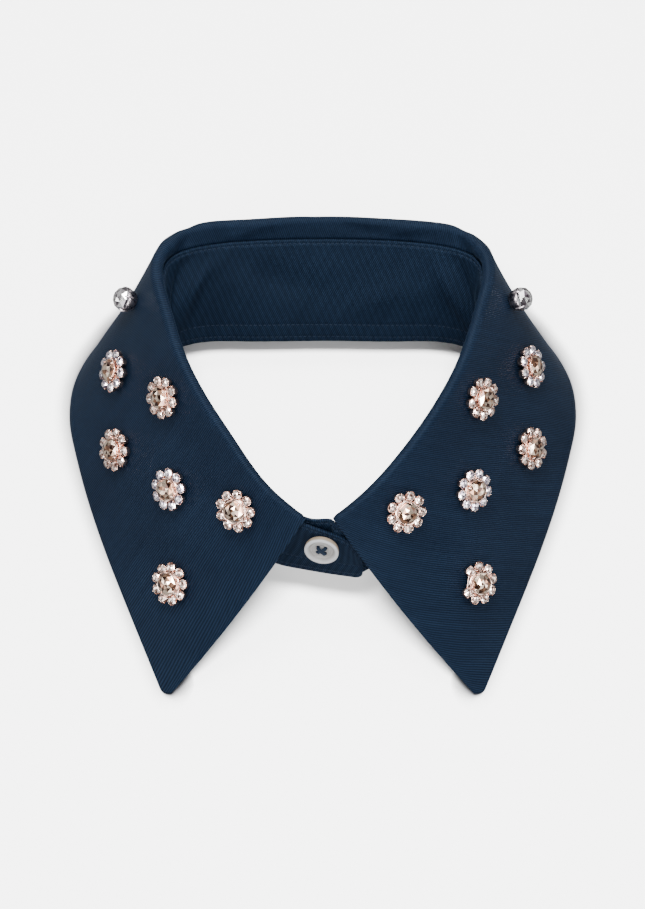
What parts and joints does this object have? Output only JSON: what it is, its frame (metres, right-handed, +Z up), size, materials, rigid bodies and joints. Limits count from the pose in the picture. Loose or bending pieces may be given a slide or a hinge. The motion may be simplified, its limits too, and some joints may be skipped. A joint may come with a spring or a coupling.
{
  "type": "detachable shirt collar",
  "caption": "Detachable shirt collar with a buttoned stand, a turned-down pointed fall and sewn-on flower jewels, standing by itself.",
  "frame": {"origin": "middle of the base of the whole collar, on the surface it stands on", "axes": "+Z up; the front with the button faces -Y, the back of the neck is at +Y; +X is the wearer's left"},
  "size_m": [0.1728, 0.168, 0.0523],
  "materials": {
    "navy_twill": "fine woven cotton twill with a soft sheen, dark navy",
    "pearl_button": "pearl white, polished, with a beige side",
    "navy_thread": "twisted cotton thread, navy",
    "rose_petals": "rose gold cups holding small faceted rosy crystals",
    "lilac_petals": "rose gold cups holding small faceted lilac crystals",
    "champagne_crystal": "faceted champagne crystal",
    "dark_silver_cup": "dark silver metal, polished",
    "clear_crystal": "faceted clear crystal"
  },
  "bodies": {
    "root": {"collar_fall": "navy_twill", "collar_stand": "navy_twill", "front_button": "pearl_button", "button_thread": "navy_thread", "jewel_01_setting": "lilac_petals", "jewel_01_stone": "champagne_crystal", "jewel_02_setting": "rose_petals", "jewel_02_stone": "champagne_crystal", "jewel_03_setting": "rose_petals", "jewel_03_stone": "champagne_crystal", "jewel_04_setting": "lilac_petals", "jewel_04_stone": "champagne_crystal", "jewel_05_setting": "rose_petals", "jewel_05_stone": "champagne_crystal", "jewel_06_setting": "rose_petals", "jewel_06_stone": "champagne_crystal", "jewel_07_setting": "lilac_petals", "jewel_07_stone": "champagne_crystal", "jewel_08_setting": "rose_petals", "jewel_08_stone": "champagne_crystal", "jewel_09_setting": "rose_petals", "jewel_09_stone": "champagne_crystal", "jewel_10_setting": "lilac_petals", "jewel_10_stone": "champagne_crystal", "jewel_11_setting": "rose_petals", "jewel_11_stone": "champagne_crystal", "jewel_12_setting": "rose_petals", "jewel_12_stone": "champagne_crystal", "shoulder_01_setting": "dark_silver_cup", "shoulder_01_stone": "clear_crystal", "shoulder_02_setting": "dark_silver_cup", "shoulder_02_stone": "clear_crystal"}
  },
  "joints": []
}
